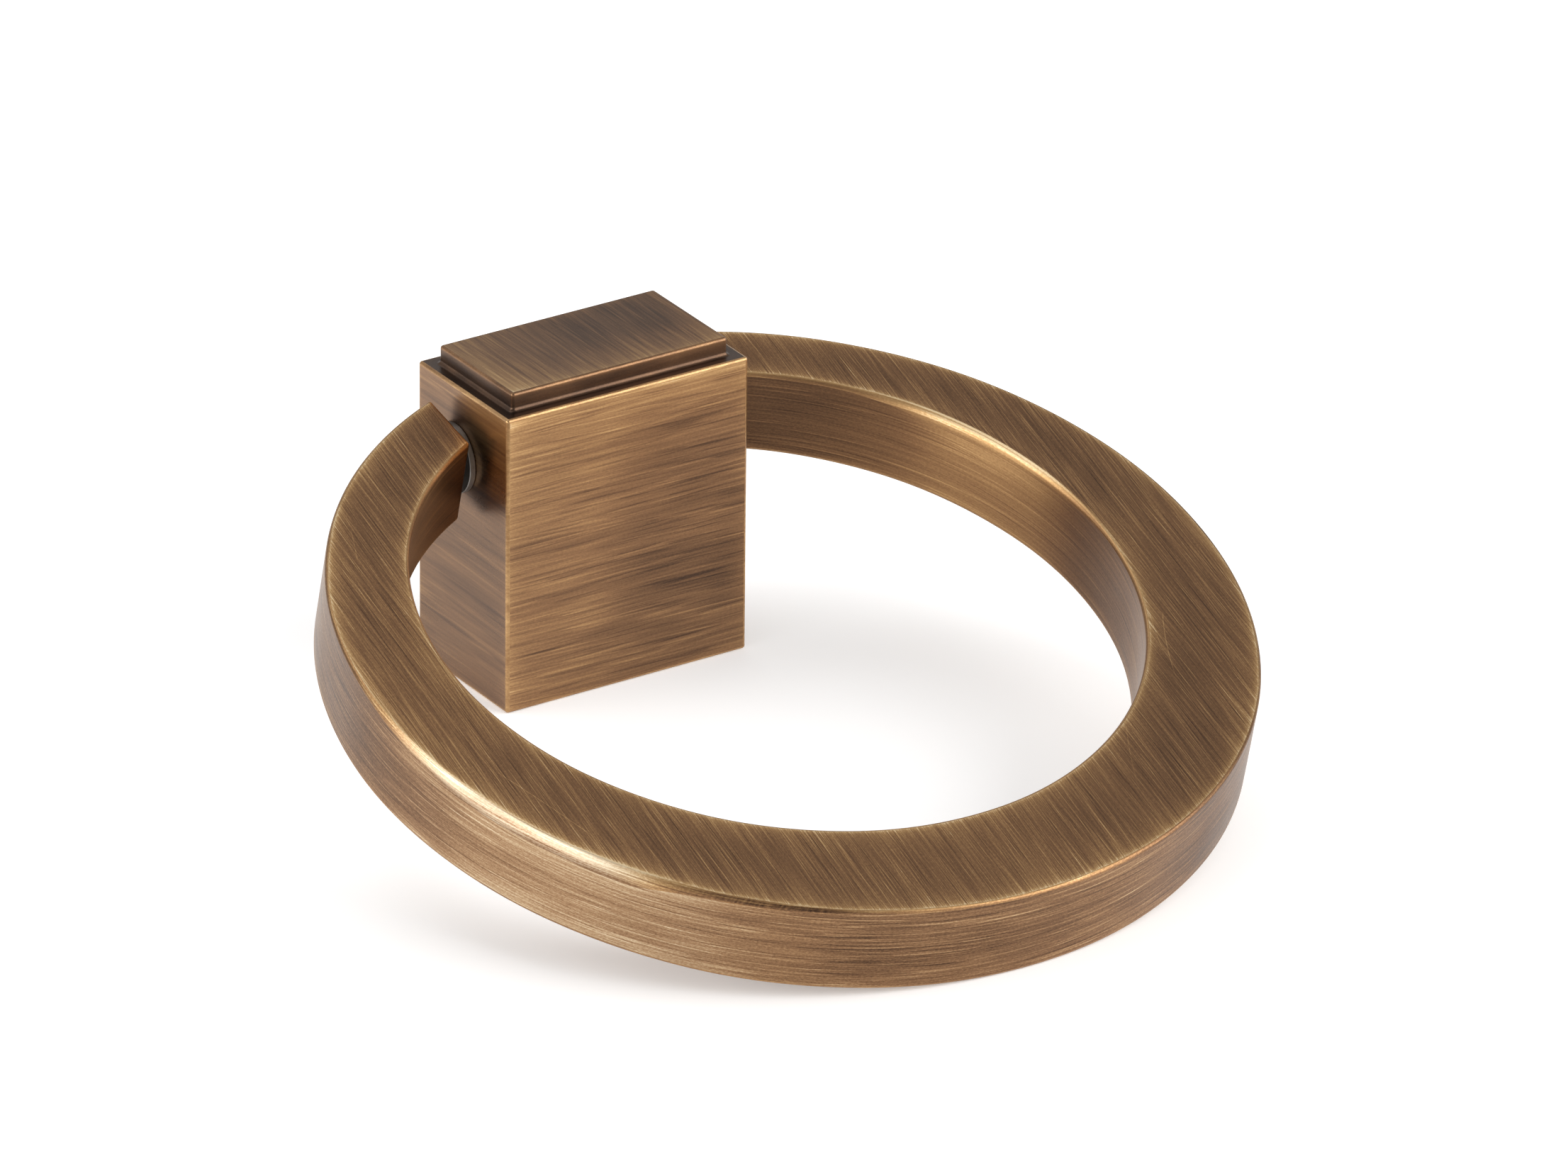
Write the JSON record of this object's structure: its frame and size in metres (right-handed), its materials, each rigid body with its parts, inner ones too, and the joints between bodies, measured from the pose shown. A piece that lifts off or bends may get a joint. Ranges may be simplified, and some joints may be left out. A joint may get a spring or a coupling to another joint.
{
  "type": "ring pull handle",
  "caption": "Solid brass drawer pull: a flat off-centre ring swings on a pin through a square-edged post with a stepped top, screwed on from behind.",
  "frame": {"origin": "centre of the post's base, at the mouth of its screw hole, on the mounting plane", "axes": "+Z out of the mounting plane, X along the pivot pin, the ring lies towards -Y at rest"},
  "size_m": [0.076, 0.0755, 0.0281],
  "materials": {
    "post_brass": "brushed antique brass, brown patina relieved at the edges",
    "ring_brass": "brushed antique brass, brown patina relieved at the edges",
    "pin_steel": "ground",
    "washer_steel": "dull grey"
  },
  "bodies": {
    "post_body": {"post": "post_brass", "pivot_pin": "pin_steel", "washer_left": "washer_steel", "washer_right": "washer_steel"},
    "ring_body": {"ring": "ring_brass"}
  },
  "joints": [
    {"name": "ring_swing", "type": "hinge", "parent": "post_body", "child": "ring_body", "pos_m": [0, 0.0009, 0.0202], "axis": [-1, 0, 0], "range_deg": [0, 206.9]}
  ]
}
